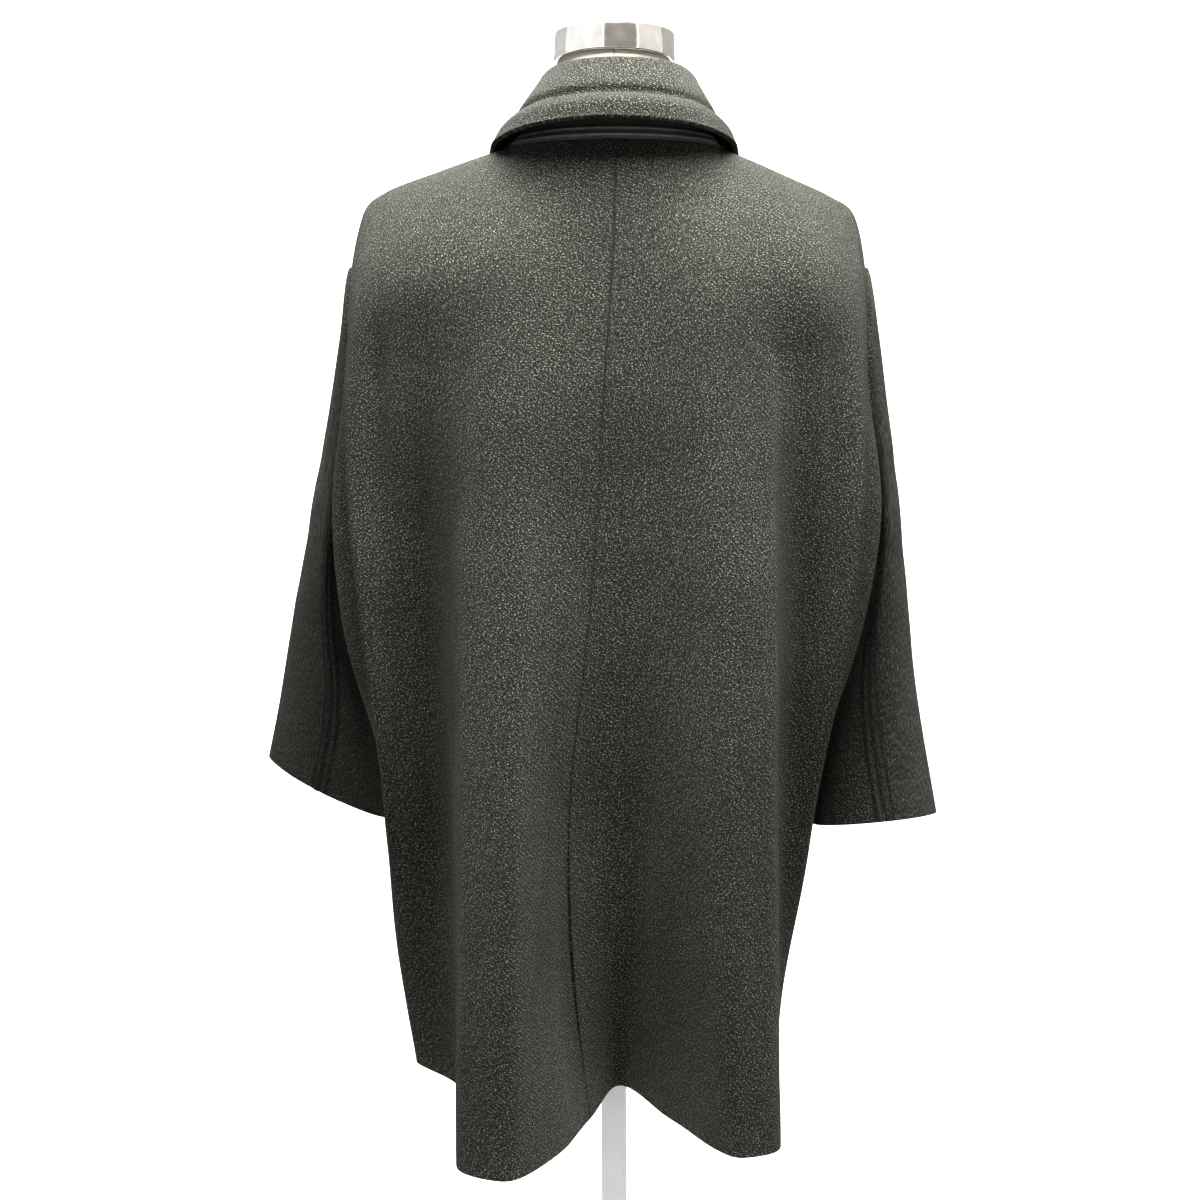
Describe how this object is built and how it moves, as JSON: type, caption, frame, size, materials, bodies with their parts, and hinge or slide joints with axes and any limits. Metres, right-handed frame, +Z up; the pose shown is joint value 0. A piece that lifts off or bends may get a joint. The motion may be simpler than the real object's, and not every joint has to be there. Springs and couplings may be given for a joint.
{
  "type": "chesterfield coat on limbless dress form with pole stand",
  "caption": "Thick wool coat with wide two-piece sleeves, turned-down collar and flared, deeply folded back, hanging closed on a dress form with pole and round base.",
  "frame": {"origin": "centre of the round base's underside, on the floor", "axes": "+Z up; the coat's front faces -Y and its back +Y; the wearer's left is +X"},
  "size_m": [0.6654, 0.4809, 1.5108],
  "materials": {
    "wool": "flecked grey-green wool twill with a short nap",
    "felt": "dark under-collar felt with stitched ridges",
    "button": "dark, dished, satin",
    "form_cover": "cream cloth cover, smooth",
    "chrome": "polished",
    "stand": "pale, satin"
  },
  "bodies": {
    "root": {"back_left": "wool", "back_right": "wool", "front_left": "wool", "front_right": "wool", "lapel_left": "wool", "lapel_right": "wool", "sleeve_upper_left": "wool", "sleeve_upper_right": "wool", "sleeve_under_left": "wool", "sleeve_under_right": "wool", "collar_leaf": "wool", "collar_stand": "felt", "button_1": "button", "button_2": "button", "button_3": "button", "dress_form": "form_cover", "neck_cap": "chrome", "pole": "stand", "base": "stand"}
  },
  "joints": []
}
